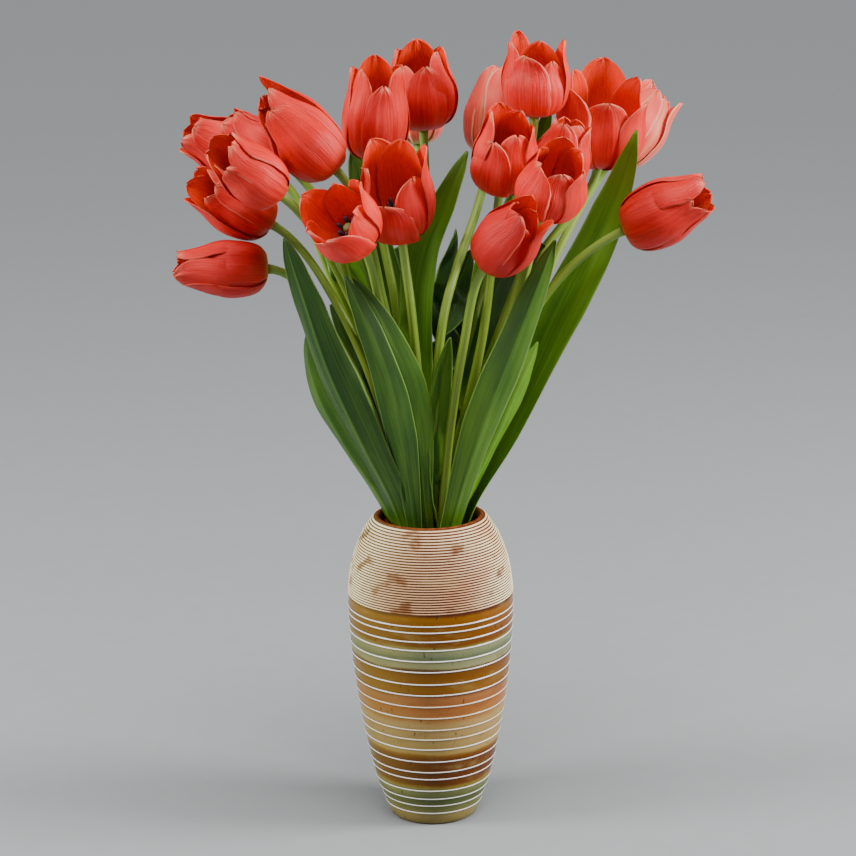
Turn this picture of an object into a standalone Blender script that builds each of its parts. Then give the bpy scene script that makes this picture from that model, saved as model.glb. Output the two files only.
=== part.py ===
"""Twenty cut tulips with their leaves, standing in a ribbed stoneware vase.

Metres, +Z up. The origin is the centre of the vase's flat foot, and the
bouquet's front faces -Y. Every stem, leaf and flower head is its own solid,
kept a thin clearance apart from whatever it touches.
"""
import math

import bmesh
import bpy
import numpy as np
from mathutils import Vector

MM = 0.001
CLEARANCE = 0.3

# Vase, mm
VASE_OUTSIDE = (
    (33.0, 0.0), (35.0, 1.2), (37.6, 8.0), (40.8, 18.0), (44.8, 28.5), (48.8, 44.0), (54.0, 69.0),
    (58.4, 95.0), (61.9, 121.0), (64.4, 149.0), (65.6, 176.0), (64.9, 194.0), (62.4, 210.5),
    (58.4, 224.0), (53.2, 236.0), (47.0, 245.5), (42.7, 250.0),
)
VASE_INSIDE = (
    (37.6, 249.4), (39.0, 245.0), (46.6, 233.0), (53.6, 217.0), (58.0, 200.0), (59.8, 178.0),
    (58.6, 149.0), (54.4, 110.0), (47.8, 69.0), (41.0, 40.0), (34.0, 18.0), (30.5, 11.5),
    (27.5, 9.0),
)
VASE_FLOOR = 9.0
VASE_STEPS = 36

# Stems, mm
STEM_FOOT_RADIUS = 3.7
STEM_NECK_RADIUS = 3.3
STEM_BEVEL_STEPS = 1
STEM_POINTS = 11
STEM_CROWDING = 0.65
STEM_END = 6.0
FOOT_PITCH = 8.6
MOUTH_PITCH = 9.4
MOUTH_HEIGHT = 240.0
SPREAD_ROUNDS = 160
SPREAD_SPACE = 1.0
SPREAD_OFFSETS = 3
STEM_DENSE = 60
STEM_LOOKED_AT = 160

# Per tulip, mm: column and row in the hexagonal bundle at the mouth, a point
# that the stem bends through, the neck where the flower sits, the way the
# flower points, its length, its greatest radius and how wide its mouth opens.
TULIPS = (
    ((-2.0, 0), (-78, -4, 407), (-121, -14, 452), (-0.98, -0.15, 0.05), 75, 22, 0.46),
    ((-1.5, -1), (-66, -14, 418), (-119, 4, 484), (-0.77, -0.28, 0.50), 72, 22, 0.62),
    ((-1.0, 0), (-56, -26, 426), (-109, -50, 516), (-0.67, -0.44, 0.60), 66, 22, 0.66),
    ((-1.0, 2), (-70, 50, 420), (-133, 80, 521), (-0.88, -0.12, 0.42), 64, 23, 0.60),
    ((-1.5, 1), (-56, 24, 420), (-104, 34, 528), (-0.70, 0.10, 0.71), 62, 22, 0.55),
    ((-0.5, -1), (-32, -14, 420), (-67, -26, 530), (-0.67, -0.16, 0.72), 88, 26, 0.50),
    ((0.0, 0), (-24, 6, 420), (-39, 18, 531), (0.10, -0.14, 0.97), 78, 28, 0.62),
    ((-0.5, 1), (2, 34, 440), (0, 62, 548), (-0.04, -0.10, 0.99), 68, 28, 0.66),
    ((0.0, 2), (-6, 70, 420), (-4, 116, 528), (-0.02, 0.10, 0.99), 58, 22, 0.45),
    ((-1.0, -2), (-34, -48, 424), (-50, -72, 485), (-0.40, -0.70, 0.59), 50, 27, 1.06),
    ((0.0, -2), (-11, -37, 420), (-18, -34, 481), (-0.08, -0.36, 0.92), 74, 28, 0.85),
    ((0.5, -1), (12, -29, 408), (51, 60, 526), (0.12, 0.10, 0.98), 72, 23, 0.45),
    ((1.0, 2), (46, 30, 420), (86, 24, 562), (-0.05, -0.10, 0.99), 62, 27, 0.66),
    ((1.0, 0), (44, -14, 400), (58, -12, 512), (0.12, -0.42, 0.90), 66, 25, 0.70),
    ((1.5, -1), (66, -28, 410), (89, -54, 500), (0.26, -0.44, 0.86), 57, 26, 0.72),
    ((0.5, 1), (58, 4, 400), (98, 2, 506), (0.26, -0.10, 0.95), 58, 22, 0.60),
    ((1.5, 1), (84, 34, 440), (138, 58, 520), (-0.05, -0.22, 0.97), 76, 33, 0.70),
    ((2.5, 1), (94, 72, 420), (152, 118, 512), (0.60, 0.10, 0.79), 74, 24, 0.50),
    ((1.0, -2), (28, -54, 398), (46, -74, 465), (0.52, -0.50, 0.69), 66, 23, 0.74),
    ((2.0, 0), (94, -6, 428), (154, -4, 476), (0.88, -0.22, 0.42), 71, 25, 0.60),
)

# Leaves, mm and degrees: the tulip that carries the leaf, the height where it
# leaves the stem, the way its back faces there and at its tip, its width, and
# the points that it passes on its way to the tip.
LEAVES = (
    (2, 205, 200, 235, 30, ((-26, -20, 258), (-51, -42, 322), (-74, -52, 379), (-91, -60, 436),
                            (-105, -66, 485))),
    (1, 216, 200, 222, 26, ((-33, -4, 256), (-62, -16, 309), (-85, -20, 357), (-93, -16, 400))),
    (5, 224, 168, 150, 26, ((-33, 12, 286), (-54, 14, 360), (-74, 14, 418))),
    (10, 205, 262, 262, 28, ((-13, -30, 260), (-22, -54, 331), (-37, -72, 397), (-60, -85, 459))),
    (11, 228, 262, 262, 28, ((-3, -28, 264), (-12, -46, 352), (-31, -60, 409), (-54, -72, 455))),
    (11, 300, 110, 70, 24, ((-9, -12, 385), (-3, -10, 456), (18, -14, 507), (33, -18, 541))),
    (8, 330, 0, 330, 18, ((12, 22, 385), (19, 20, 436), (24, 14, 476))),
    (9, 320, 200, 60, 24, ((-15, 40, 385), (-22, 44, 437), (0, 38, 456))),
    (19, 240, 180, 95, 18, ((1, -23, 272), (8, -33, 345), (18, -45, 403))),
    (19, 205, 295, 280, 32, ((21, -29, 262), (40, -48, 329), (67, -60, 401), (97, -70, 481))),
    (20, 205, 30, 70, 34, ((34, 4, 262), (66, 9, 322), (104, 16, 402), (142, 20, 480),
                           (164, 12, 551))),
    (15, 232, 320, 300, 22, ((31, -16, 272), (59, -22, 335), (86, -18, 392))),
    (16, 330, 60, 50, 22, ((52, 18, 386), (73, 18, 443), (93, 6, 463))),
    (13, 310, 70, 80, 22, ((40, 58, 410), (76, 66, 490), (101, 62, 569))),
    (4, 270, 70, 80, 26, ((-34, 50, 384), (-63, 54, 448), (-90, 54, 500))),
    (7, 310, 90, 80, 22, ((-21, 22, 395), (-39, 30, 466), (-56, 40, 539))),
    (9, 300, 320, 60, 22, ((10, 42, 372), (22, 44, 416), (37, 42, 454))),
)
LEAF_THICKNESS = 1.2
LEAF_GRIP = 0.88
LEAF_RINGS = 11
LEAF_ACROSS = 5
LEAF_SHAPE = ((0.0, 0.34), (0.14, 0.46), (0.35, 0.80), (0.6, 1.0), (0.82, 0.74), (0.94, 0.40),
              (1.0, 0.10))
LEAF_CUP = 0.9
LEAF_DENSE = 40
LEAF_WIDE = 9
EASE_ROUNDS = 40
EASE_LOOKS = 8
EASE_NEAR = 16

# Flower heads, mm and shares of a flower's length or greatest radius
PETAL_WALL = 2.2
HEAD_STEPS = 12
HEAD_TURN = 0.9
# Height and radius of the closed cup from its base to its petal tips, as
# parts of the flower's length and of its greatest radius.
HEAD_SHAPE = ((0.02, 0.50), (0.12, 0.84), (0.30, 1.0), (0.52, 0.98), (0.74, 0.84))
HEAD_HOLLOW = (0.74, 0.46, 0.24)
HEAD_FLOOR = 0.19
LEAN_ABOVE = 0.7
RIM_LOW = 0.88
RIM_HIGH = 1.0


def hermite(start, end, leave, arrive, steps):
    """Points of the cubic that leaves start along leave and reaches end along arrive."""
    u = np.linspace(0, 1, steps)[:, None]
    return ((2 * u**3 - 3 * u**2 + 1) * start + (u**3 - 2 * u**2 + u) * leave
            + (3 * u**2 - 2 * u**3) * end + (u**3 - u**2) * arrive)


def unit(vector):
    vector = np.asarray(vector, float)
    return vector / np.linalg.norm(vector, axis=-1, keepdims=True)


def stem_path(tulip):
    """Foot, mouth, bend and neck joined by cubics that share their tangents."""
    (column, row), bend, neck, points_to = tulip[:4]
    slot = np.array([column, row * math.sqrt(0.75), 0.0])
    foot = slot * FOOT_PITCH + (0, 0, VASE_FLOOR + CLEARANCE)
    mouth = slot * MOUTH_PITCH + (0, 0, MOUTH_HEIGHT)
    bend, neck = np.array(bend, float), np.array(neck, float)
    rise = np.array([0, 0, 1.0])
    first, second = np.linalg.norm(bend - mouth), np.linalg.norm(neck - bend)
    at_mouth = unit(unit(bend - mouth) + 0.8 * rise)
    at_bend = unit(unit(bend - mouth) + unit(neck - bend))
    at_neck = unit(points_to)
    inside = hermite(foot, mouth, rise * 150, at_mouth * 110, 8)
    lower = hermite(mouth, bend, at_mouth * first, at_bend * first, 25)
    upper = hermite(bend, neck, at_bend * second, at_neck * second, 17)
    return np.vstack([inside[:-1], lower[:-1], upper])


def evenly(path, count, crowding=1.0):
    """The path resampled at count points, evenly or crowded towards its end."""
    along = np.concatenate([[0], np.cumsum(np.linalg.norm(np.diff(path, axis=0), axis=1))])
    wanted = along[-1] * np.linspace(0, 1, count) ** crowding
    return np.stack([np.interp(wanted, along, path[:, axis]) for axis in range(3)], axis=1)


def spread(paths):
    """Eases crossing stems apart sideways, with their feet and necks held."""
    paths = np.array([evenly(path, STEM_DENSE) for path in paths])
    count, steps, _ = paths.shape
    hold = np.ones(steps)
    hold[:18] = np.linspace(0, 1, 18)
    hold[-5:] = np.linspace(0.8, 0, 5)
    reach = STEM_FOOT_RADIUS * 2 + SPREAD_SPACE
    same = np.eye(count, dtype=bool)[:, :, None]
    for _ in range(SPREAD_ROUNDS):
        total, hits = np.zeros_like(paths), np.zeros((count, steps))
        for offset in range(-SPREAD_OFFSETS, SPREAD_OFFSETS + 1):
            here = slice(max(0, -offset), steps - max(0, offset))
            there = slice(max(0, offset), steps - max(0, -offset))
            apart = paths[:, None, here] - paths[None, :, there]
            gap = np.linalg.norm(apart, axis=3)
            near = (gap < reach) & ~same
            apart[..., 2] = 0
            push = np.where(near, (reach - gap) / np.maximum(gap, 0.5), 0.0)[..., None] * apart
            total[:, here] += push.sum(axis=1)
            hits[:, here] += near.sum(axis=1)
        shift = total / np.maximum(hits, 1)[..., None] * 0.35
        for _ in range(3):
            shift[:, 1:-1] = (shift[:, :-2] + 2 * shift[:, 1:-1] + shift[:, 2:]) / 4
        paths = paths + shift * hold[None, :, None]
    return paths


def chain(knots, first_way, steps):
    """Cubics through the knots, each knot crossed along the line of its neighbours."""
    knots = np.array(knots, float)
    ways = np.empty_like(knots)
    ways[1:-1] = knots[2:] - knots[:-2]
    ways[-1] = 1.5 * (knots[-1] - knots[-2]) - 0.5 * (knots[-2] - knots[-3])
    ways[0] = first_way
    ways = unit(ways)
    spans = [hermite(a, b, m * np.linalg.norm(b - a), n * np.linalg.norm(b - a), steps)
             for a, b, m, n in zip(knots, knots[1:], ways, ways[1:])]
    return evenly(np.vstack([span[:-1] for span in spans] + [knots[-1:]]), LEAF_DENSE)


def leaf_surface(leaf, stems):
    """A leaf's middle surface: rings along it, points across it, and the way its back faces."""
    host, height, back_at_foot, back_at_tip, width, knots = leaf
    stem = stems[host - 1]
    place = np.argmin(np.abs(stem[:, 2] - height))
    grip = STEM_FOOT_RADIUS + LEAF_GRIP + LEAF_THICKNESS / 2
    turn = math.radians(back_at_foot)
    start = stem[place] + grip * np.array([math.cos(turn), math.sin(turn), 0])
    middle = chain([start, *knots], stem[place + 2] - stem[place - 2], 12)
    t = np.linspace(0, 1, LEAF_DENSE)
    turns = np.radians(np.interp(t, (0.15, 0.7), (back_at_foot, back_at_tip)))
    back = np.stack([np.cos(turns), np.sin(turns), 0 * t], axis=1)
    along = unit(np.gradient(middle, axis=0))
    side = unit(np.cross(along, back))
    back = np.cross(side, along)
    half = width / 2 * np.interp(t, *zip(*LEAF_SHAPE))
    curl = np.interp(t, (0, 0.25), (grip, width * LEAF_CUP))
    angle = (half / curl)[:, None] * np.linspace(-1, 1, LEAF_WIDE)[None, :]
    across = curl[:, None] * np.sin(angle)
    sunk = curl[:, None] * (1 - np.cos(angle))
    points = (middle[:, None] + side[:, None] * across[..., None] - back[:, None] * sunk[..., None])
    return points, back


def ease(points, back, taken):
    """Moves a leaf's points along the way its back faces until they clear what is there."""
    hold = np.interp(np.linspace(0, 1, len(points)), (0.04, 0.16), (0, 1))[:, None]
    for turn in range(EASE_ROUNDS):
        if turn % EASE_LOOKS == 0:
            low, high = points.min((0, 1)) - 12, points.max((0, 1)) + 12
            close = taken[np.all((taken[:, :3] > low) & (taken[:, :3] < high), axis=1)]
            flat = points.reshape(-1, 3)
            square = ((flat**2).sum(1)[:, None] - 2 * flat @ close[:, :3].T
                      + (close[:, :3]**2).sum(1)[None])
            order = np.argpartition(square, EASE_NEAR, axis=1)[:, :EASE_NEAR]
            near = close[order].reshape(*points.shape[:2], EASE_NEAR, 4)
        away = points[:, :, None, :] - near[..., :3]
        short = np.clip(near[..., 3] - np.linalg.norm(away, axis=3), 0, None)
        worst = short.argmax(axis=2)[..., None]
        amount = np.take_along_axis(short, worst, 2)[..., 0]
        chosen = np.take_along_axis(away, worst[..., None], 2)[:, :, 0]
        push = amount * np.where((chosen * back[:, None]).sum(axis=2) < 0, -1.0, 1.0) * hold
        push = 0.6 * push + 0.4 * push.mean(axis=1, keepdims=True)
        push[1:-1] = (push[:-2] + 2 * push[1:-1] + push[2:]) / 4
        points = points + 0.9 * push[..., None] * back[:, None]
    return points


def material(name, colour, roughness, metallic=0.0):
    made = bpy.data.materials.new(name)
    made.use_nodes = True
    shader = made.node_tree.nodes["Principled BSDF"]
    shader.inputs["Base Color"].default_value = (*colour, 1.0)
    shader.inputs["Roughness"].default_value = roughness
    shader.inputs["Metallic"].default_value = metallic
    return made


def keep(mesh_data, name, surface):
    """Turns a bmesh into a smooth-shaded object with its material."""
    bmesh.ops.recalc_face_normals(mesh_data, faces=mesh_data.faces)
    mesh = bpy.data.meshes.new(name)
    mesh_data.to_mesh(mesh)
    mesh_data.free()
    mesh.materials.append(surface)
    mesh.shade_smooth()
    made = bpy.data.objects.new(name, mesh)
    bpy.context.scene.collection.objects.link(made)
    return made


def make_vase():
    profile = ((0.0, 0.0),) + VASE_OUTSIDE + VASE_INSIDE + ((0.0, VASE_FLOOR),)
    shape = bmesh.new()
    points = [shape.verts.new((r * MM, 0, z * MM)) for r, z in profile]
    edges = [shape.edges.new(pair) for pair in zip(points, points[1:])]
    bmesh.ops.spin(shape, geom=points + edges, cent=(0, 0, 0), axis=(0, 0, 1),
                   angle=math.tau, steps=VASE_STEPS, use_merge=True)
    bmesh.ops.remove_doubles(shape, verts=shape.verts, dist=1e-6)
    return keep(shape, "vase", material("glazed_stoneware", (0.36, 0.22, 0.10), 0.32))


def make_stem(number, path, points_to):
    curve = bpy.data.curves.new(f"stem_{number:02d}", "CURVE")
    curve.dimensions = "3D"
    curve.bevel_depth = STEM_FOOT_RADIUS * MM
    curve.bevel_resolution = STEM_BEVEL_STEPS
    curve.use_fill_caps = True
    spline = curve.splines.new("POLY")
    last = path[-1] - unit(points_to) * STEM_END
    points = np.vstack([evenly(path[:-3], STEM_POINTS, STEM_CROWDING), last, path[-1]]) * MM
    spline.points.add(len(points) - 1)
    for place, (point, where) in enumerate(zip(spline.points, points)):
        point.co = (*where, 1.0)
        point.radius = np.interp(place / (len(points) - 1), (0.5, 1),
                                 (1, STEM_NECK_RADIUS / STEM_FOOT_RADIUS))
    curve.materials.append(material(curve.name, (0.19, 0.31, 0.06), 0.45))
    made = bpy.data.objects.new(curve.name, curve)
    bpy.context.scene.collection.objects.link(made)
    return made


def make_leaf(number, points):
    """A grid bent over the leaf's surface and given its thickness."""
    shape = bmesh.new()
    bmesh.ops.create_grid(shape, x_segments=LEAF_RINGS - 1, y_segments=LEAF_ACROSS - 1, size=0.5)
    rings, across = points.shape[:2]
    for vert in shape.verts:
        ring = round((vert.co.x + 0.5) * (rings - 1))
        place = round((vert.co.y + 0.5) * (across - 1))
        vert.co = points[ring, place] * MM
    made = keep(shape, f"leaf_{number:02d}",
                material(f"leaf_{number:02d}", (0.07, 0.18, 0.05), 0.45))
    thicken = made.modifiers.new("thickness", "SOLIDIFY")
    thicken.thickness = LEAF_THICKNESS * MM
    thicken.offset = 0
    thicken.use_even_offset = True
    return made


def head_ring(shape, height, radius, wave, turn):
    """One ring of points round the flower's axis, waved once for each petal."""
    ring = []
    for step in range(HEAD_STEPS):
        angle = math.tau * step / HEAD_STEPS
        lift = wave * (1 if step % 2 else -1)
        ring.append(shape.verts.new((radius * math.cos(angle + turn) * MM,
                                     radius * math.sin(angle + turn) * MM,
                                     (height + lift) * MM)))
    return ring


def cup_radius(part, opening):
    """The cup's outside at a share of its length, drawn towards its mouth near the top."""
    wide = np.interp(part, *zip(*HEAD_SHAPE))
    return (wide + opening) / 2 if part > LEAN_ABOVE else wide


def make_head(number, tulip):
    """Six petals joined into one cup, hollow from its mouth most of the way down."""
    neck, points_to, length, radius, opening = tulip[2:]
    shape = bmesh.new()
    turn = number * HEAD_TURN
    wave = length * (RIM_HIGH - RIM_LOW) / 2
    rim = length * (RIM_HIGH + RIM_LOW) / 2
    rings = [head_ring(shape, part * length, radius * cup_radius(part, opening), 0, turn)
             for part, _ in HEAD_SHAPE]
    rings.append(head_ring(shape, rim, radius * opening, wave, turn))
    rings.append(head_ring(shape, rim, radius * opening - PETAL_WALL, wave, turn))
    rings += [head_ring(shape, part * length, radius * cup_radius(part, opening) - PETAL_WALL,
                        0, turn)
              for part in HEAD_HOLLOW]
    foot = shape.verts.new((0, 0, 0))
    floor = shape.verts.new((0, 0, HEAD_FLOOR * length * MM))
    for low, high in zip(rings, rings[1:]):
        for step in range(HEAD_STEPS):
            after = (step + 1) % HEAD_STEPS
            shape.faces.new((low[step], low[after], high[after], high[step]))
    for step in range(HEAD_STEPS):
        after = (step + 1) % HEAD_STEPS
        shape.faces.new((foot, rings[0][after], rings[0][step]))
        shape.faces.new((floor, rings[-1][step], rings[-1][after]))
    made = keep(shape, f"flower_{number:02d}",
                material(f"petals_{number:02d}", (0.74, 0.13, 0.08), 0.42))
    direction = unit(points_to)
    made.location = (np.array(neck) + direction * CLEARANCE) * MM
    made.rotation_mode = "QUATERNION"
    made.rotation_quaternion = Vector(direction).to_track_quat("Z", "Y")
    return made


for old in list(bpy.data.objects):
    bpy.data.objects.remove(old)

make_vase()
stems = spread([stem_path(tulip) for tulip in TULIPS])
for index, tulip in enumerate(TULIPS):
    make_stem(index + 1, stems[index], tulip[3])
    make_head(index + 1, tulip)

room_by_stem = STEM_FOOT_RADIUS + LEAF_THICKNESS / 2 + 2 * CLEARANCE
room_by_leaf = LEAF_THICKNESS + 2 * CLEARANCE
taken = np.vstack([evenly(path, STEM_LOOKED_AT) for path in stems])
taken = np.column_stack([taken, np.full(len(taken), room_by_stem)])
for index, leaf in enumerate(LEAVES):
    points = ease(*leaf_surface(leaf, stems), taken)
    make_leaf(index + 1, points)
    flat = points.reshape(-1, 3)
    taken = np.vstack([taken, np.column_stack([flat, np.full(len(flat), room_by_leaf)])])
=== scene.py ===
import math

import bpy
import numpy as np
from mathutils import Matrix, Vector


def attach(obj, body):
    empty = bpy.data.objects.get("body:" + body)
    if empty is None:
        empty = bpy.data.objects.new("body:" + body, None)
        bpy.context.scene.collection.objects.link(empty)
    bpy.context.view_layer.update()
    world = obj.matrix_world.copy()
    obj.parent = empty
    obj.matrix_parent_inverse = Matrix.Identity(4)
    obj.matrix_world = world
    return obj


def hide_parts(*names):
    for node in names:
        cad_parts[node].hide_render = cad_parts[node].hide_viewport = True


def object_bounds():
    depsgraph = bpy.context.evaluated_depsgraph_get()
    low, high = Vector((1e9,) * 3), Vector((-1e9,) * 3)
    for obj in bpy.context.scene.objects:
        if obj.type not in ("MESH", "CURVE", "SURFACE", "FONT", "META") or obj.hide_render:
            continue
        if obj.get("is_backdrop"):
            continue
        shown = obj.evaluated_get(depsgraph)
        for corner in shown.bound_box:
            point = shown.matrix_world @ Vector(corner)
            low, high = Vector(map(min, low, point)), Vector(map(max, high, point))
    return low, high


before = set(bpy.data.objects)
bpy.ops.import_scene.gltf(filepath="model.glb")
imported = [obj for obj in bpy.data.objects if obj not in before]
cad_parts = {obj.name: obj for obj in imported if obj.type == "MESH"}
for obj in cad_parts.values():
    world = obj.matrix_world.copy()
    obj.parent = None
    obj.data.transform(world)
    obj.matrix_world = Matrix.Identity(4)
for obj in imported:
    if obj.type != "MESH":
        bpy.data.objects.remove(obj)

CAD_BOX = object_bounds()

# Sizes are in millimetres until a mesh is made.
MM = 0.001
CLEARANCE = 0.3
VASE_HEIGHT = 250.0
VASE_FLOOR = 9.0

# The vase's outline, radius and height, outside from the foot up and inside from the rim down.
VASE_OUTSIDE = (
    (35.0, 1.2), (37.6, 8.0), (40.8, 18.0), (44.8, 28.5), (48.8, 44.0), (54.0, 69.0),
    (58.4, 95.0), (61.9, 121.0), (64.4, 149.0), (65.6, 176.0), (64.9, 194.0), (62.4, 210.5),
    (58.4, 224.0), (53.2, 236.0), (47.0, 245.5), (43.4, 249.3),
)
VASE_INSIDE = (
    (38.6, 247.6), (39.0, 245.0), (46.6, 233.0), (53.6, 217.0), (58.0, 200.0), (59.8, 178.0),
    (58.6, 149.0), (54.4, 110.0), (47.8, 69.0), (41.0, 40.0), (34.0, 18.0), (30.5, 11.5),
    (26.0, 9.0), (13.0, 9.0), (0.0, 9.0),
)
# The slightly hollow underside from its middle out, and the lip from outside in.
VASE_UNDER = ((0.0, 1.6), (20.0, 1.6), (28.0, 1.3), (30.0, 0.0), (33.0, 0.0))
VASE_RIM = ((42.4, 249.8), (41.4, 250.0), (40.2, 249.8), (39.2, 249.0))
# Heights of the raised white lines, and of the fine ribs above them.
LINE_HEIGHTS = (177.6, 172.4, 165.0, 157.7, 148.5, 139.5, 129.0, 119.6, 109.6, 99.6,
                89.2, 80.7, 71.7, 60.6, 51.0, 44.5, 33.6, 25.8, 18.8, 11.6)
RIBS = 31
RIB_LOW, RIB_HIGH = 186.6, 249.2

# Per tulip: column and row in the hexagonal bundle at the mouth, a point that the
# stem bends through, the neck where the flower sits, the way the flower points,
# its length, its greatest radius and how wide its mouth opens.
TULIPS = (
    ((-2.0, 0), (-78, -4, 407), (-121, -14, 452), (-0.98, -0.15, 0.05), 74, 22, 0.60),
    ((-1.5, -1), (-66, -14, 418), (-119, 4, 484), (-0.77, -0.28, 0.50), 72, 22, 0.62),
    ((-1.0, 0), (-56, -26, 426), (-109, -50, 516), (-0.67, -0.44, 0.60), 66, 22, 0.66),
    ((-1.0, 2), (-70, 50, 420), (-133, 80, 521), (-0.88, -0.12, 0.42), 64, 23, 0.60),
    ((-1.5, 1), (-56, 24, 420), (-107, 34, 525), (-0.80, 0.06, 0.60), 60, 21, 0.58),
    ((-0.5, -1), (-32, -14, 420), (-67, -26, 530), (-0.67, -0.16, 0.72), 88, 26, 0.50),
    ((0.0, 0), (-24, 6, 420), (-39, 18, 531), (0.08, -0.14, 0.97), 78, 26, 0.80),
    ((-0.5, 1), (2, 34, 440), (0, 62, 548), (-0.04, -0.10, 0.99), 68, 28, 0.66),
    ((0.0, 2), (-6, 70, 420), (-4, 116, 528), (-0.02, 0.10, 0.99), 58, 22, 0.45),
    ((-1.0, -2), (-34, -48, 424), (-50, -72, 485), (-0.42, -0.66, 0.62), 50, 27, 1.02),
    ((0.0, -2), (-11, -37, 420), (-18, -34, 481), (-0.08, -0.36, 0.92), 74, 28, 0.85),
    ((0.5, -1), (12, -29, 408), (51, 60, 526), (0.12, 0.10, 0.98), 72, 23, 0.45),
    ((1.0, 2), (46, 30, 420), (86, 24, 562), (0.02, -0.10, 0.99), 62, 26, 0.80),
    ((1.0, 0), (44, -14, 400), (58, -12, 512), (0.12, -0.42, 0.90), 66, 25, 0.70),
    ((1.5, -1), (66, -28, 410), (89, -54, 500), (0.26, -0.44, 0.86), 57, 26, 0.72),
    ((0.5, 1), (58, 4, 400), (98, 2, 506), (0.26, -0.10, 0.95), 58, 22, 0.60),
    ((1.5, 1), (84, 34, 440), (138, 58, 520), (0.06, -0.28, 0.96), 78, 33, 0.92),
    ((2.5, 1), (94, 72, 420), (152, 118, 512), (0.60, 0.10, 0.79), 74, 24, 0.50),
    ((1.0, -2), (28, -54, 398), (46, -74, 465), (0.50, -0.50, 0.70), 66, 23, 0.60),
    ((2.0, 0), (94, -6, 428), (154, -4, 476), (0.88, -0.22, 0.42), 73, 25, 0.62),
)

# Per leaf: the tulip that carries it, the height where it leaves the stem, the way
# its back faces there and at its tip in degrees, its width, and its route to the tip.
LEAVES = (
    (2, 205, 224, 235, 30, ((-26, -20, 258), (-51, -42, 322), (-74, -52, 379), (-91, -60, 436),
                            (-105, -66, 485))),
    (1, 216, 216, 222, 26, ((-33, -4, 256), (-62, -16, 309), (-85, -20, 357), (-93, -16, 400))),
    (5, 224, 168, 150, 26, ((-33, 12, 286), (-54, 14, 360), (-74, 14, 418))),
    (10, 205, 262, 262, 28, ((-13, -30, 260), (-22, -54, 331), (-37, -72, 397), (-60, -85, 459))),
    (11, 228, 262, 262, 28, ((-3, -28, 264), (-12, -46, 352), (-31, -60, 409), (-54, -72, 455))),
    (11, 300, 110, 70, 24, ((-9, -12, 385), (-3, -10, 456), (18, -14, 507), (33, -18, 541))),
    (8, 330, 0, 330, 18, ((12, 22, 385), (19, 20, 436), (24, 14, 476))),
    (9, 320, 200, 60, 24, ((-15, 40, 385), (-22, 44, 437), (0, 38, 456))),
    (19, 240, 180, 95, 18, ((1, -23, 272), (8, -33, 345), (18, -45, 403))),
    (19, 205, 295, 280, 32, ((21, -29, 262), (40, -48, 329), (67, -60, 401), (97, -70, 481))),
    (20, 205, 30, 70, 34, ((34, 4, 262), (66, 9, 322), (104, 16, 402), (142, 20, 480),
                           (164, 12, 551))),
    (15, 232, 320, 300, 22, ((31, -16, 272), (59, -22, 335), (86, -18, 392))),
    (16, 330, 60, 50, 22, ((52, 18, 386), (73, 18, 443), (93, 6, 463))),
    (13, 310, 70, 80, 22, ((40, 58, 410), (76, 66, 490), (101, 62, 569))),
    (4, 270, 70, 80, 26, ((-34, 50, 384), (-63, 54, 448), (-90, 54, 500))),
    (7, 310, 90, 80, 22, ((-21, 22, 395), (-39, 30, 466), (-56, 40, 539))),
    (9, 300, 320, 60, 22, ((10, 42, 372), (22, 44, 416), (37, 42, 454))),
)

# Per leaf: how much wider its blade opens than its folded foot, how light its green is (partly its
# # own tone and partly painted light and shade), and how wide it stays where it leaves the vase.
LEAF_LOOKS = (
    (1.35, 0.06, 1.0), (1.50, 0.30, 1.0), (1.45, 0.12, 0.9), (0.94, 0.14, 0.50), (1.02, 0.34, 0.42),
    (1.20, 0.62, 1.1), (1.80, 0.08, 1.6), (1.70, 0.20, 1.2), (1.10, 0.55, 1.1), (0.98, 0.40, 0.68),
    (1.15, 1.00, 1.0), (1.30, 1.00, 1.1), (1.60, 0.10, 1.1), (1.10, 0.60, 0.8), (1.50, 0.85, 0.8),
    (1.40, 0.40, 1.2), (1.60, 0.08, 1.7),
)

# The vase's mesh: points round it, rows below the ribs, half the height of a raised line
# and how far lines and ribs stand out.
VASE_SIDES = 144
VASE_ROWS = 50
LINE_HALF = 0.75
RAISED = 0.55

# Stems: radii, rings and sides of the mesh, unevenness, and the swelling under the flower
# as a share of the radius and from which share of the length.
STEM_FOOT_RADIUS = 3.7
STEM_NECK_RADIUS = 3.3
STEM_RINGS = 90
STEM_SIDES = 14
STEM_UNEVEN = 0.02
STEM_SWELL = 0.22
STEM_SWELL_FROM = 0.975

# The bundle of stems: distance between neighbours on the vase's floor and at its mouth, how
# hard each stem is pulled straight there, how many of its points are held at either end, and
# how stems that cross are eased apart.
FOOT_PITCH = 8.6
MOUTH_PITCH = 9.4
MOUTH_HEIGHT = 240.0
FOOT_PULL, MOUTH_PULL = 150, 110
STEM_DENSE = 60
HELD_AT_FOOT, HELD_AT_NECK = 18, 5
SPREAD_ROUNDS = 160
SPREAD_SPACE = 1.0
SPREAD_OFFSETS = 3
SPREAD_STRENGTH = 0.35

# Leaves: the room that each needs, its share of the width along its length, how it cups
# round the stem, and how it is eased clear of stems and other leaves.
LEAF_THICKNESS = 1.2
LEAF_GRIP = 0.88
LEAF_SHAPE = ((0.0, 0.42), (0.05, 0.78), (0.14, 0.86), (0.35, 0.92), (0.6, 1.0), (0.82, 0.74),
              (0.94, 0.40), (1.0, 0.06))
LEAF_CUP = 0.9
LEAF_DENSE = 40
LEAF_WIDE = 9
EASE_ROUNDS = 40
EASE_LOOKS = 8
EASE_NEAR = 16
EASE_MARGIN = 12
STEM_LOOKED_AT = 160

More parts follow.
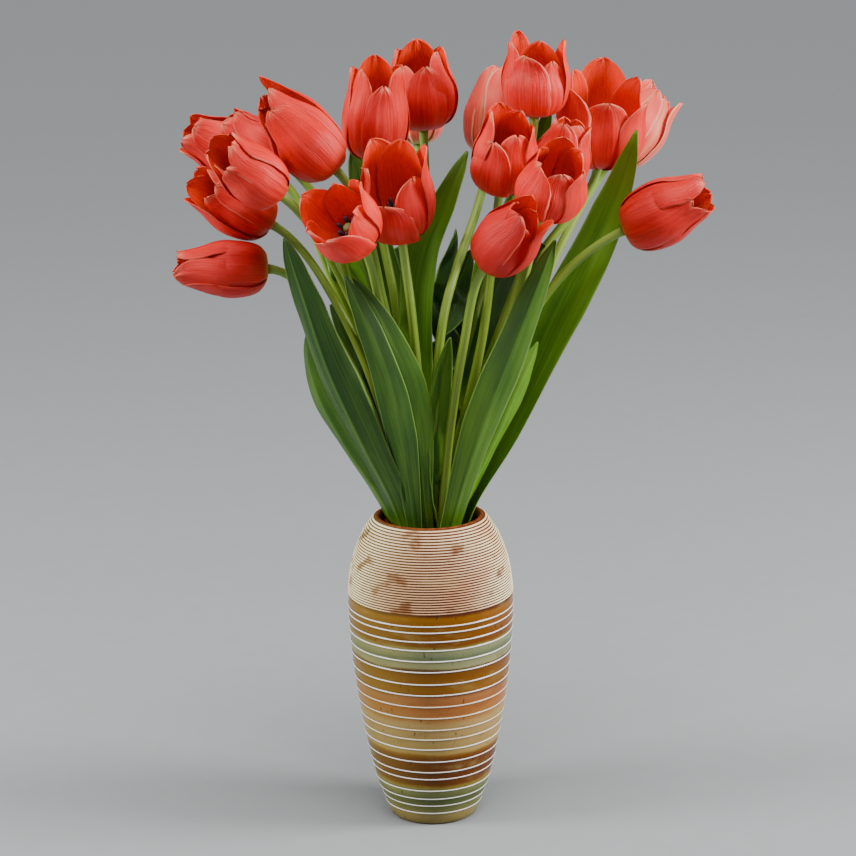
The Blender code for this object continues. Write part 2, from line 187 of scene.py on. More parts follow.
# Leaves: rows and columns of the finer mesh, its thickness, and the depths of the midrib,
# the fold along it, the veins and the waved rims.
LEAF_ROWS, LEAF_COLUMNS = 100, 23
LEAF_SKIN = 0.9
MIDRIB_DEPTH = 1.1
MIDRIB_SPREAD = 0.16
LEAF_FOLD = 3.2
VEIN_DEPTH = 0.14
LEAF_WAVE = 1.5


# ---------------------------------------------------------------- materials

class Value:
    """A node's socket, so that shader maths can be written as Python."""

    def __init__(self, paint, socket):
        self.paint, self.socket = paint, socket

    def math(self, operation, *others):
        return self.paint.node("ShaderNodeMath", {"operation": operation}, (self, *others))

    def __add__(self, other):
        return self.math("ADD", other)

    def __sub__(self, other):
        return self.math("SUBTRACT", other)

    def __rsub__(self, other):
        return self.paint.node("ShaderNodeMath", {"operation": "SUBTRACT"}, (other, self))

    def __mul__(self, other):
        return self.math("MULTIPLY", other)

    def __truediv__(self, other):
        return self.math("DIVIDE", other)

    __radd__, __rmul__ = __add__, __mul__

    def size(self):
        return self.math("ABSOLUTE")

    def between(self, low, high):
        """0 below low, 1 above high and a smooth step from one to the other."""
        return self.paint.node("ShaderNodeMapRange", {"interpolation_type": "SMOOTHSTEP"},
                               {"Value": self, "From Min": low, "From Max": high})


class Paint:
    """One material: a Principled shader and the nodes that feed it."""

    def __init__(self, name, **constants):
        self.material = bpy.data.materials.new(name)
        self.material.use_nodes = True
        self.tree = self.material.node_tree
        self.shader = self.tree.nodes["Principled BSDF"]
        for socket, amount in constants.items():
            self.shader.inputs[socket.replace("_", " ")].default_value = amount

    def node(self, kind, settings=None, sockets=(), out=0):
        """Adds a node, sets its settings first, then its sockets by order or by name."""
        made = self.tree.nodes.new(kind)
        for name, setting in (settings or {}).items():
            if name == "stops":
                self.set_stops(made.color_ramp, setting)
            else:
                setattr(made, name, setting)
        pairs = sockets.items() if isinstance(sockets, dict) else enumerate(sockets)
        for key, given in pairs:
            self.feed(made.inputs[key], given)
        return Value(self, made.outputs[out])

    def feed(self, socket, given):
        if isinstance(given, Value):
            self.tree.links.new(given.socket, socket)
        else:
            socket.default_value = given

    @staticmethod
    def set_stops(ramp, stops):
        while len(ramp.elements) < len(stops):
            ramp.elements.new(1.0)
        for element, (place, colour) in zip(ramp.elements, stops):
            element.position = place
            element.color = (*colour, 1.0)

    def mix(self, first, second, factor):
        """Colour first turned into second by factor."""
        first, second = (c if isinstance(c, Value) else (*c, 1.0) for c in (first, second))
        return self.node("ShaderNodeMix", {"data_type": "RGBA"},
                         {0: factor, 6: first, 7: second}, out=2)

    def vector(self, x, y, z):
        return self.node("ShaderNodeCombineXYZ", None, (x, y, z))

    def parts(self, vector):
        made = self.node("ShaderNodeSeparateXYZ", None, (vector,))
        return [Value(self, socket) for socket in made.socket.node.outputs]

    def noise(self, vector, scale, detail=2.0, roughness=0.5):
        return self.node("ShaderNodeTexNoise", None, {"Vector": vector, "Scale": scale,
                                                      "Detail": detail, "Roughness": roughness})

    def attribute(self, name, out):
        return self.node("ShaderNodeAttribute", {"attribute_name": name}, (), out)

    def place(self):
        """Across, along and the seed, or for leaves the tone with its painted light and shade, that
        every leaf, petal and stem carries.
        """
        return self.parts(self.attribute("place", "Vector"))

    def bump(self, height, distance, strength=1.0):
        return self.node("ShaderNodeBump", None, {"Height": height, "Distance": distance,
                                                  "Strength": strength})

    def finish(self, **fed):
        for name, given in fed.items():
            self.feed(self.shader.inputs[name.replace("_", " ")], given)
        return self.material


def petal_paint():
    """Coral petals: paler rims and tips, partly a pale margin and partly painted highlight, fine
    streaks, a hotter red inside, a lower part tinted olive-brown and partly painted shade, and a
    yellow-green foot. Some flowers are painted a deeper red all over, as painted shade, by a
    per-flower attribute."""
    paint = Paint("coral_petal", Roughness=0.46, Specular_IOR_Level=0.24,
                  Subsurface_Weight=0.22, Subsurface_Scale=0.003)
    across, along, seed = paint.place()
    inside = paint.attribute("inside", "Fac")
    edge = across.size()
    streaks = paint.noise(paint.vector(across * 16.0 + seed * 7.0, along * 1.4, seed),
                          1.0, 4.0, 0.6)
    clouds = paint.noise(paint.vector(across * 1.6, along * 2.0, seed * 3.0), 1.0, 2.0)
    shade = paint.noise(paint.vector(seed * 5.0, 0.0, 0.0), 1.0)
    outer = paint.mix((0.50, 0.002, 0.002), (0.86, 0.016, 0.010), streaks.between(0.25, 0.75))
    outer = paint.mix(outer, (0.90, 0.085, 0.066), clouds.between(0.42, 0.75) * 0.55)
    outer = paint.mix(outer, (0.36, 0.002, 0.002), (1.0 - clouds.between(0.25, 0.48)) * 0.45)
    # Paler rims and tips: partly the petal's pale margin, partly painted highlight.
    rim = edge.between(0.90, 1.0) * along.between(0.3, 0.8) * clouds.between(0.25, 0.65)
    outer = paint.mix(outer, (0.95, 0.260, 0.170), rim)
    tip = (along + 0.10 * streaks).between(0.96, 1.06)
    outer = paint.mix(outer, (0.94, 0.280, 0.170), tip * 0.7)
    outer = paint.mix(outer, (0.50, 0.006, 0.006), (1.0 - edge.between(0.02, 0.16)) * 0.4)
    outer = paint.mix(outer, (0.90, 0.022, 0.004), shade.between(0.35, 0.65) * 0.4)
    # Painted shade: whole flowers that sit in shade are darkened to a deeper red.
    outer = paint.mix(outer, (0.42, 0.003, 0.005), paint.attribute("depth", "Fac") * 0.7)
    # Olive-brown lower part: partly the petal's own tint, partly painted shade under the flower
    # head.
    outer = paint.mix(outer, (0.34, 0.060, 0.012), (1.0 - along.between(0.10, 0.42)) * 0.40)
    foot = 1.0 - (along + 0.05 * streaks).between(0.05, 0.22)
    outer = paint.mix(outer, (0.50, 0.36, 0.045), foot)
    inner = paint.mix((0.88, 0.016, 0.002), (0.98, 0.065, 0.008), streaks.between(0.2, 0.8))
    inner = paint.mix((0.16, 0.001, 0.002), inner, along.between(0.10, 0.48))
    inner = paint.mix(inner, (0.92, 0.080, 0.030), edge.between(0.75, 1.0) * 0.5)
    colour = paint.mix(outer, inner, inside.between(0.3, 0.7))
    crinkles = paint.noise(paint.vector(across * 9.0, along * 14.0, seed), 1.0, 2.0)
    veins = paint.noise(paint.vector(across * 60.0, along * 3.0, seed), 1.0, 2.0)
    relief = streaks + 0.5 * veins + crinkles * along.between(0.6, 1.0)
    return paint.finish(Base_Color=colour, Normal=paint.bump(relief, 0.0008, 0.8))


def pale_paint():
    """Paler pink petals, creamy along the middle and the rims, with a yellow-green foot."""
    paint = Paint("pale_petal", Roughness=0.45, Specular_IOR_Level=0.35, Sheen_Weight=0.12,
                  Subsurface_Weight=0.12, Subsurface_Scale=0.004)
    across, along, seed = paint.place()
    inside = paint.attribute("inside", "Fac")
    edge = across.size()
    streaks = paint.noise(paint.vector(across * 18.0, along * 1.5, seed), 1.0, 4.0, 0.6)
    outer = paint.mix((0.88, 0.14, 0.085), (0.86, 0.065, 0.040), streaks.between(0.3, 0.7))
    outer = paint.mix(outer, (0.80, 0.045, 0.030), edge.between(0.45, 0.9) * 0.6)
    outer = paint.mix(outer, (0.84, 0.50, 0.18), (1.0 - edge.between(0.03, 0.18)) * 0.30)
    outer = paint.mix(outer, (0.92, 0.55, 0.30), edge.between(0.86, 1.0) * 0.8)
    outer = paint.mix(outer, (0.55, 0.55, 0.12), 1.0 - along.between(0.02, 0.26))
    inner = paint.mix((0.60, 0.02, 0.01), (0.88, 0.090, 0.050), along.between(0.1, 0.7))
    colour = paint.mix(outer, inner, inside.between(0.3, 0.7))
    return paint.finish(Base_Color=colour, Normal=paint.bump(streaks, 0.0005, 0.6))


def leaf_paint():
    """Long-veined green, deep or light from leaf to leaf (partly its own tone, partly painted light
    and shade), with painted sunlit patches, paler at the rims (partly painted highlight) and the
    midrib and yellower at the foot."""
    paint = Paint("green_leaf", Roughness=0.42, Specular_IOR_Level=0.26)
    across, along, tone_and_light = paint.place()
    edge = across.size()
    veins = paint.noise(paint.vector(across * 36.0 + tone_and_light * 9.0, along * 1.2, tone_and_light * 7.0),
                        1.0, 3.0, 0.6)
    clouds = paint.noise(paint.vector(across * 1.4, along * 4.0, tone_and_light * 11.0), 1.0, 2.0)
    deep = paint.mix((0.004, 0.022, 0.002), (0.020, 0.072, 0.008), veins.between(0.25, 0.75))
    light = paint.mix((0.055, 0.180, 0.004), (0.165, 0.340, 0.014), veins.between(0.25, 0.75))
    # Per-leaf tone, partly painted light and shade: lit leaves take the light green.
    green = paint.mix(deep, light, tone_and_light)
    # Painted sunlight in soft patches, stronger on lighter leaves.
    sunlit = clouds.between(0.42, 0.75) * (0.15 + 0.45 * tone_and_light)
    green = paint.mix(green, (0.150, 0.290, 0.018), sunlit)
    green = paint.mix(green, (0.012, 0.050, 0.006), (1.0 - clouds.between(0.28, 0.48)) * 0.45)
    # Paler rim: partly a pale margin, partly painted highlight.
    green = paint.mix(green, (0.24, 0.42, 0.07), edge.between(0.90, 1.0) * 0.8)
    green = paint.mix(green, (0.12, 0.26, 0.03), (1.0 - edge.between(0.0, 0.08)) * 0.45)
    green = paint.mix((0.16, 0.28, 0.012), green, along.between(0.0, 0.20))
    return paint.finish(Base_Color=green, Normal=paint.bump(veins, 0.0009, 0.8))


def stem_paint():
    """Smooth green stems with a fine grain, paler in soft patches of painted light and towards the
    flower.
    """
    paint = Paint("green_stem", Roughness=0.42, Specular_IOR_Level=0.32)
    across, along, seed = paint.place()
    grain = paint.noise(paint.vector(across * 7.0, along * 5.0, seed), 1.0, 4.0, 0.6)
    clouds = paint.noise(paint.vector(across, along * 3.0, seed * 2.0), 1.0)
    green = paint.mix((0.06, 0.13, 0.008), (0.20, 0.31, 0.020), grain.between(0.25, 0.75))
    # Painted light: soft paler patches round the stem.
    green = paint.mix(green, (0.34, 0.42, 0.05), clouds.between(0.40, 0.75) * 0.6)
    green = paint.mix(green, (0.24, 0.42, 0.07), along.between(0.85, 1.0) * 0.6)
    return paint.finish(Base_Color=green, Normal=paint.bump(grain, 0.0004, 0.5))


def heart_paint():
    """Dark purple anthers on dark threads round a pale green pistil."""
    paint = Paint("dark_anther", Roughness=0.75)
    across, along, seed = paint.place()
    grain = paint.noise(paint.node("ShaderNodeTexCoord", None, (), "Object"), 2500.0, 2.0)
    dust = paint.mix((0.010, 0.004, 0.012), (0.045, 0.018, 0.040), grain.between(0.35, 0.7))
    pistil = paint.mix((0.20, 0.26, 0.03), (0.14, 0.13, 0.03), along.between(0.5, 1.0))
    return paint.finish(Base_Color=paint.mix(dust, pistil, seed),
                        Normal=paint.bump(grain, 0.0003, 0.6))


# Glaze colours up the vase: height in millimetres and colour.
GLAZE = (
    (0, (0.040, 0.018, 0.004)), (2, (0.20, 0.14, 0.040)), (11, (0.24, 0.18, 0.055)),
    (13, (0.15, 0.15, 0.045)), (24, (0.070, 0.095, 0.028)), (34, (0.17, 0.18, 0.060)),
    (37, (0.22, 0.14, 0.014)), (39, (0.120, 0.034, 0.001)), (50, (0.105, 0.026, 0.001)),
    (63, (0.130, 0.034, 0.001)), (66, (0.20, 0.080, 0.006)), (68, (0.36, 0.24, 0.065)),
    (80, (0.34, 0.22, 0.074)), (93, (0.37, 0.23, 0.080)), (97, (0.34, 0.15, 0.040)),
    (108, (0.32, 0.098, 0.020)), (117, (0.31, 0.118, 0.036)), (119.5, (0.110, 0.022, 0.002)),
    (121, (0.20, 0.078, 0.004)), (130, (0.18, 0.066, 0.003)), (139, (0.15, 0.048, 0.002)),
    (141, (0.040, 0.008, 0.001)), (142.5, (0.26, 0.25, 0.11)), (148, (0.20, 0.21, 0.10)),
    (150, (0.088, 0.120, 0.060)), (157, (0.23, 0.24, 0.11)), (159.5, (0.18, 0.13, 0.020)),
    (161, (0.150, 0.042, 0.0005)), (172, (0.175, 0.056, 0.0005)), (184, (0.22, 0.078, 0.002)),
    (186, (0.075, 0.014, 0.001)), (250, (0.080, 0.016, 0.001)),
)


def glaze_paint():
    """Bands of glaze that run a little, white raised lines with darker glaze beside them, and ribs
    rubbed back to brown, where painted shade also darkens the ribs that face the front. The
    clay is bare inside and underneath."""
    paint = Paint("glazed_stoneware", Specular_IOR_Level=0.16)
    spot = paint.node("ShaderNodeTexCoord", None, (), "Object")
    x, y, z = paint.parts(spot)
    relief = paint.attribute("relief", "Fac")
    bare = paint.attribute("bare", "Fac")
    runs = paint.noise(paint.vector(x * 16.0, y * 16.0, z * 3.0), 1.0, 2.0)
    fine = paint.noise(spot, 220.0, 3.0, 0.6)
    level = (z * 1000.0 + (runs - 0.5) * 5.0 + (fine - 0.5) * 1.2) / VASE_HEIGHT
    bands = paint.node("ShaderNodeValToRGB",
                       {"stops": [(h / VASE_HEIGHT, colour) for h, colour in GLAZE]}, (level,))
    wash = paint.noise(paint.vector(x * 22.0, y * 22.0, z * 60.0), 1.0, 4.0, 0.6)
    bands = paint.mix(bands, (0.46, 0.38, 0.12), wash.between(0.52, 0.80) * 0.35)
    bands = paint.mix(bands, (0.05, 0.015, 0.003), (1.0 - wash.between(0.25, 0.50)) * 0.4)
    flow = paint.noise(paint.vector(x * 60.0, y * 60.0, z * 420.0), 1.0, 3.0, 0.6)
    bands = paint.mix(bands, (0.06, 0.022, 0.008), flow.between(0.66, 0.80) * 0.5)
    left = (0.0 - x).between(-0.010, 0.060)
    bands = paint.mix(bands, (0.26, 0.22, 0.035), left * 0.30)
    specks = paint.noise(paint.vector(x * 300.0, y * 300.0, z * 150.0), 1.0, 2.0)
    bands = paint.mix(bands, (0.035, 0.012, 0.003), specks.between(0.66, 0.74) * 0.65)
    # Darker beside each raised line, in patches.
    pooled = paint.attribute("pooled", "Fac") * wash.between(0.25, 0.60)
    bands = paint.mix(bands, (0.045, 0.014, 0.003), pooled * 0.62)
    high = z.between((RIB_LOW - 2.1) * MM, (RIB_LOW - 0.1) * MM)
    rubbed = paint.noise(paint.vector(x * 42.0, y * 42.0, z * 62.0), 1.0, 3.0, 0.55)
    rubbed = rubbed.between(0.55, 0.72)
    worn = paint.noise(paint.vector(x * 18.0, y * 18.0, z * 30.0), 1.0, 2.0)
    # Painted shade: ribs that face the front are darker brown, with narrower cream tops.
    front = (0.0 - y).between(0.025, 0.066)
    rib = paint.mix((0.84, 0.52, 0.28), (0.98, 0.86, 0.52), worn.between(0.28, 0.55))
    rib = paint.mix(rib, (0.56, 0.24, 0.12), front * 0.80)
    rib = paint.mix(rib, (0.26, 0.070, 0.022), rubbed * 0.85)
    creamy = z.between(0.076, 0.082) * (1.0 - z.between(0.112, 0.120))
    line = paint.mix(paint.mix((1.0, 0.98, 0.94), (0.90, 0.74, 0.50), creamy * 0.7), rib, high)
    rib_top = relief.between(0.30 + 0.16 * front, 0.58 + 0.18 * front)
    cover = paint.mix(relief.between(0.52, 0.84), rib_top, high)
    colour = paint.mix(bands, line, cover * (1.0 - 0.25 * rubbed * high))
    clay = paint.mix((0.12, 0.022, 0.004), (0.24, 0.060, 0.010), fine.between(0.3, 0.7))
    colour = paint.mix(colour, clay, bare)
    gloss = 0.16 + 0.34 * high + 0.12 * wash + 0.35 * bare
    skin = paint.bump(fine * 0.4 + wash, 0.0004, 0.35)
    return paint.finish(Base_Color=colour, Roughness=gloss, Normal=skin)


def floor_paint():
    """Plain pale grey, very faintly uneven."""
    paint = Paint("studio_floor", Roughness=0.85)
    grain = paint.noise(paint.node("ShaderNodeTexCoord", None, (), "Object"), 40.0, 2.0)
    return paint.finish(Base_Color=paint.mix((0.224, 0.235, 0.238), (0.242, 0.253, 0.257), grain))


# ---------------------------------------------------------------- surfaces

CHAIN_STEPS = 12


def unit(vector):
    vector = np.asarray(vector, float)
    return vector / np.linalg.norm(vector, axis=-1, keepdims=True)


def cubic(u, start, end, leave, arrive):
    """At shares u of the way, the cubic that leaves start along leave and reaches end along
    arrive."""
    return ((2 * u**3 - 3 * u**2 + 1) * start + (u**3 - 2 * u**2 + u) * leave
            + (3 * u**2 - 2 * u**3) * end + (u**3 - u**2) * arrive)


def hermite(start, end, leave, arrive, steps):
    """A number of points of that cubic, both ends among them."""
    return cubic(np.linspace(0, 1, steps)[:, None], start, end, leave, arrive)


def evenly(path, count):
    """The path resampled at count points, evenly along its length."""
    along = np.concatenate([[0], np.cumsum(np.linalg.norm(np.diff(path, axis=0), axis=1))])
    wanted = along[-1] * np.linspace(0, 1, count)
    return np.stack([np.interp(wanted, along, path[:, axis]) for axis in range(path.shape[1])],
                    axis=1)


def chain(knots, count, first_way=None):
    """Cubics through the knots, each knot crossed along the line of its neighbours."""
    knots = np.array(knots, float)
    ways = np.empty_like(knots)
    ways[1:-1] = knots[2:] - knots[:-2]
    ways[-1] = 1.5 * (knots[-1] - knots[-2]) - 0.5 * (knots[-2] - knots[-3])
    ways[0] = knots[1] - knots[0] if first_way is None else first_way
    ways = unit(ways)
    spans = [hermite(a, b, m * np.linalg.norm(b - a), n * np.linalg.norm(b - a), CHAIN_STEPS)
             for a, b, m, n in zip(knots, knots[1:], ways, ways[1:])]
    return evenly(np.vstack([span[:-1] for span in spans] + [knots[-1:]]), count)


def linked(name, thing):
    """A new object of the scene that holds this mesh, light or camera."""
    made = bpy.data.objects.new(name, thing)
    bpy.context.scene.collection.objects.link(made)
    return made


def put(name, points, faces, node, paint, marks):
    """Makes the mesh, smooth shaded, and hangs it in the frame in place of its CAD node."""
    mesh = bpy.data.meshes.new(name)
    mesh.from_pydata(np.asarray(points) * MM, [], faces)
    mesh.shade_smooth()
    mesh.materials.append(paint)
    for mark, values in marks.items():
        values = np.asarray(values, np.float32)
        kind, field = ("FLOAT", "value") if values.ndim == 1 else ("FLOAT_VECTOR", "vector")
        mesh.attributes.new(mark, kind, "POINT").data.foreach_set(field, values.ravel())
    made = linked(name, mesh)
    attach(made, "root")
    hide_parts(node)


def quads(index):
    """Faces of a grid of vertex numbers, facing the way that across x along points."""
    return np.stack([index[:-1, :-1], index[:-1, 1:], index[1:, 1:], index[1:, :-1]],
                    axis=2).reshape(-1, 4)


def capped(rings, sides):
    """Faces of closed rings of points numbered in order, with one more point at each end."""
    index = np.arange(rings * sides).reshape(rings, sides)
    index = np.column_stack([index, index[:, 0]])
    low, high = np.full(sides, rings * sides), np.full(sides, rings * sides + 1)
    return (quads(index).tolist()
            + np.stack([index[0, 1:], index[0, :-1], low], axis=1).tolist()
            + np.stack([index[-1, :-1], index[-1, 1:], high], axis=1).tolist())


def sheet(points, thickness):
    """A closed thin leaf of material: the grid moved half its thickness each way along its
    normal, with both faces sharing the rim. Returns points, faces, how far each point is on
    the rear face, and the grid point that each came from."""
    rows, columns, _ = points.shape
    normal = unit(np.cross(np.gradient(points, axis=1), np.gradient(points, axis=0)) + 1e-12)
    front = points + normal * thickness[..., None] / 2
    rear = points - normal * thickness[..., None] / 2
    rim = np.ones((rows, columns), bool)
    rim[1:-1, 1:-1] = False
    front[rim] = points[rim]
    first = np.arange(rows * columns).reshape(rows, columns)
    second = first.copy()
    second[~rim] = rows * columns + np.arange((~rim).sum())
    joined = np.vstack([front.reshape(-1, 3), rear[~rim]])
    faces = np.vstack([quads(first), quads(second)[:, ::-1]])
    behind = np.concatenate([np.where(rim.ravel(), 0.5, 0.0), np.ones((~rim).sum())])
    source = np.concatenate([np.arange(rows * columns), np.flatnonzero(~rim.ravel())])
    return joined, faces.tolist(), behind, source


def over_grid(u, v, grid, source):
    """Across and along for each point of a sheet made from this grid."""
    return [np.broadcast_to(part, grid.shape[:2]).ravel()[source] for part in (u, v)]


def tube(path, radii, sides):
    """A round closed skin: at each point of the path a circle of that radius square to it,
    with a point at both ends. Returns points, faces, the cosine of the turn round the tube
    and the share of the way along it."""
    along = unit(np.gradient(path, axis=0))
    side = unit(np.cross(along, (0.06, 1.0, 0.02)))
    other = np.cross(along, side)
    turn = np.arange(sides) / sides * math.tau
    rings = (path[:, None] + radii[:, None, None] * (np.cos(turn)[:, None] * side[:, None]
                                                      + np.sin(turn)[:, None] * other[:, None]))
    count = len(path)
    points = np.vstack([rings.reshape(-1, 3), path[0], path[-1]])
    u = np.concatenate([np.tile(np.cos(turn), count), [0, 0]])
    v = np.concatenate([np.repeat(np.linspace(0, 1, count), sides), [0, 1]])
    return points, capped(count, sides), u, v


# ---------------------------------------------------------------- the vase

def build_vase():
    """A profile spun round +Z. The outline is a smooth curve through the named points; ribs
    and raised lines push it outwards by a rounded step at their heights."""
    outside = chain(VASE_OUTSIDE, 500)
    pitch = (RIB_HIGH - RIB_LOW) / RIBS
    rib_middles = RIB_LOW + pitch * (np.arange(RIBS) + 0.5)
    # Rows of points across each raised line and each rib, measured from its middle.
    line_steps = np.array([-1.5, -0.95, -0.7, -0.42, 0.0, 0.42, 0.7, 0.95, 1.5])
    rib_steps = pitch * np.array([-0.5, -0.32, -0.2, 0.0, 0.2, 0.32])
    heights = np.concatenate([
        np.linspace(VASE_OUTSIDE[0][1], RIB_LOW, VASE_ROWS), [VASE_OUTSIDE[-1][1]],
        (np.array(LINE_HEIGHTS)[:, None] + line_steps).ravel(),
        (rib_middles[:, None] + rib_steps).ravel()])
    heights = np.unique(np.round(heights, 2))
    heights = heights[np.concatenate([[True], np.diff(heights) > 0.12])]
    radius = np.interp(heights, outside[:, 1], outside[:, 0])
    from_line = np.abs(heights[:, None] - np.array(LINE_HEIGHTS)).min(axis=1)
    line = np.clip(1.25 - from_line / LINE_HALF, 0, 1)
    from_rib = np.abs(heights[:, None] - rib_middles).min(axis=1)
    rib = np.clip(1.3 - from_rib / (0.31 * pitch), 0, 1)
    relief = np.maximum(line, rib)
    relief = relief * relief * (3 - 2 * relief)
    slope = unit(np.column_stack([np.gradient(heights), -np.gradient(radius)]))
    wall = np.column_stack([radius, heights]) + slope * (relief * RAISED)[:, None]
    inside = chain(VASE_INSIDE, 60)
    outline = np.vstack([VASE_UNDER, wall, VASE_RIM, inside])
    under, rest = np.zeros(len(VASE_UNDER)), np.zeros(len(VASE_RIM) + len(inside))
    marks = {"relief": np.concatenate([under, relief, rest]),
             "bare": np.concatenate([under + 1, 0 * relief, rest + 1]),
             "pooled": np.concatenate([under, np.exp(-(from_line / 1.2) ** 2), rest])}
    turn = np.arange(VASE_SIDES) / VASE_SIDES * math.tau
    wobble = 1 + 0.0016 * np.sin(2 * turn + 0.4) + 0.0008 * np.sin(3 * turn)
    radial = outline[1:-1, 0][:, None] * wobble[None, :]
    points = np.stack([radial * np.cos(turn), radial * np.sin(turn),
                       np.repeat(outline[1:-1, 1][:, None], VASE_SIDES, axis=1)], axis=2)
    points = np.vstack([points.reshape(-1, 3), (0, 0, outline[0, 1]), (0, 0, outline[-1, 1])])
    marks = {name: np.concatenate([np.repeat(row[1:-1], VASE_SIDES), [row[0], row[-1]]])
             for name, row in marks.items()}
    put("vase_body", points, capped(len(outline) - 2, VASE_SIDES), "vase",
        glaze_paint(), marks)


# ---------------------------------------------------------------- stems

def stem_path(tulip):
    """Foot, mouth, bend and neck joined by cubics that share their tangents."""
    (column, row), bend, neck, points_to = tulip[:4]
    slot = np.array([column, row * math.sqrt(0.75), 0.0])
    foot = slot * FOOT_PITCH + (0, 0, VASE_FLOOR + CLEARANCE)
    mouth = slot * MOUTH_PITCH + (0, 0, MOUTH_HEIGHT)
    bend, neck = np.array(bend, float), np.array(neck, float)
    rise = np.array([0, 0, 1.0])
    first, second = np.linalg.norm(bend - mouth), np.linalg.norm(neck - bend)
    at_mouth = unit(unit(bend - mouth) + 0.8 * rise)
    at_bend = unit(unit(bend - mouth) + unit(neck - bend))
    at_neck = unit(points_to)
    inside = hermite(foot, mouth, rise * FOOT_PULL, at_mouth * MOUTH_PULL, 8)
    lower = hermite(mouth, bend, at_mouth * first, at_bend * first, 25)
    upper = hermite(bend, neck, at_bend * second, at_neck * second, 17)
    return np.vstack([inside[:-1], lower[:-1], upper])


def spread(paths):
    """Eases crossing stems apart sideways, with their feet and necks held."""
    paths = np.array([evenly(path, STEM_DENSE) for path in paths])
    count, steps, _ = paths.shape
    hold = np.ones(steps)
    hold[:HELD_AT_FOOT] = np.linspace(0, 1, HELD_AT_FOOT)
    hold[-HELD_AT_NECK:] = np.linspace(0.8, 0, HELD_AT_NECK)
    reach = STEM_FOOT_RADIUS * 2 + SPREAD_SPACE
    same = np.eye(count, dtype=bool)[:, :, None]
    for _ in range(SPREAD_ROUNDS):
        total, hits = np.zeros_like(paths), np.zeros((count, steps))
        for offset in range(-SPREAD_OFFSETS, SPREAD_OFFSETS + 1):
            here = slice(max(0, -offset), steps - max(0, offset))
            there = slice(max(0, offset), steps - max(0, -offset))
            apart = paths[:, None, here] - paths[None, :, there]
            gap = np.linalg.norm(apart, axis=3)
            near = (gap < reach) & ~same
            apart[..., 2] = 0
            push = np.where(near, (reach - gap) / np.maximum(gap, 0.5), 0.0)[..., None] * apart
            total[:, here] += push.sum(axis=1)
            hits[:, here] += near.sum(axis=1)
        shift = total / np.maximum(hits, 1)[..., None] * SPREAD_STRENGTH
        for _ in range(3):
            shift[:, 1:-1] = (shift[:, :-2] + 2 * shift[:, 1:-1] + shift[:, 2:]) / 4
        paths = paths + shift * hold[None, :, None]
    return paths


def build_stem(number, path, paint):
    """A tube along the path, faintly uneven, that swells just under the flower."""
    line = evenly(path, STEM_RINGS)
    t = np.linspace(0, 1, STEM_RINGS)
    uneven = STEM_UNEVEN * np.sin(17 * t + number)
    swell = STEM_SWELL * np.clip((t - STEM_SWELL_FROM) / (1 - STEM_SWELL_FROM), 0, 1)**2
    radii = np.interp(t, (0.5, 1), (STEM_FOOT_RADIUS, STEM_NECK_RADIUS)) * (1 + uneven + swell)
    radii[0] *= 0.93
    points, faces, u, v = tube(line, radii, STEM_SIDES)
    marks = np.column_stack([u, v, np.full(len(u), number * 0.37)])
    put(f"stem_{number:02d}_skin", points, faces, f"stem_{number:02d}", paint,
        {"place": marks})


# ---------------------------------------------------------------- leaves

def leaf_surface(leaf, stems, width, foot):
    """A leaf's middle surface: rings along it, points across it, and the way its back faces."""
    host, height, back_at_foot, back_at_tip, _, knots = leaf
    stem = stems[host - 1]
    place = np.argmin(np.abs(stem[:, 2] - height))
    grip = STEM_FOOT_RADIUS + LEAF_GRIP + LEAF_THICKNESS / 2
    turn = math.radians(back_at_foot)
    start = stem[place] + grip * np.array([math.cos(turn), math.sin(turn), 0])
    middle = chain([start, *knots], LEAF_DENSE, stem[place + 2] - stem[place - 2])
    t = np.linspace(0, 1, LEAF_DENSE)
    turns = np.radians(np.interp(t, (0.15, 0.7), (back_at_foot, back_at_tip)))
    back = np.stack([np.cos(turns), np.sin(turns), 0 * t], axis=1)
    along = unit(np.gradient(middle, axis=0))
    side = unit(np.cross(along, back))
    back = np.cross(side, along)
    half = width / 2 * np.interp(t, *zip(*LEAF_SHAPE)) * np.interp(t, (0.14, 0.45), (foot, 1))
    curl = np.interp(t, (0, 0.08, 0.25), (grip, width * 0.55, width * LEAF_CUP))
    angle = (half / curl)[:, None] * np.linspace(-1, 1, LEAF_WIDE)[None, :]
    across = curl[:, None] * np.sin(angle)
    sunk = curl[:, None] * (1 - np.cos(angle))
    points = (middle[:, None] + side[:, None] * across[..., None] - back[:, None] * sunk[..., None])
    return points, back


def ease(points, back, taken):
    """Moves a leaf's points along the way its back faces until they clear what is there."""
    hold = np.interp(np.linspace(0, 1, len(points)), (0.04, 0.16), (0, 1))[:, None]
    for done in range(EASE_ROUNDS):
        if done % EASE_LOOKS == 0:
            low, high = points.min((0, 1)) - EASE_MARGIN, points.max((0, 1)) + EASE_MARGIN
            close = taken[np.all((taken[:, :3] > low) & (taken[:, :3] < high), axis=1)]
            flat = points.reshape(-1, 3)
            square = ((flat**2).sum(1)[:, None] - 2 * flat @ close[:, :3].T
                      + (close[:, :3]**2).sum(1)[None])
            order = np.argpartition(square, EASE_NEAR, axis=1)[:, :EASE_NEAR]
            near = close[order].reshape(*points.shape[:2], EASE_NEAR, 4)
        away = points[:, :, None, :] - near[..., :3]
        short = np.clip(near[..., 3] - np.linalg.norm(away, axis=3), 0, None)
        worst = short.argmax(axis=2)[..., None]
        amount = np.take_along_axis(short, worst, 2)[..., 0]
        chosen = np.take_along_axis(away, worst[..., None], 2)[:, :, 0]
        push = amount * np.where((chosen * back[:, None]).sum(axis=2) < 0, -1.0, 1.0) * hold
        push = 0.6 * push + 0.4 * push.mean(axis=1, keepdims=True)
        push[1:-1] = (push[:-2] + 2 * push[1:-1] + push[2:]) / 4
        points = points + 0.9 * push[..., None] * back[:, None]
    return points


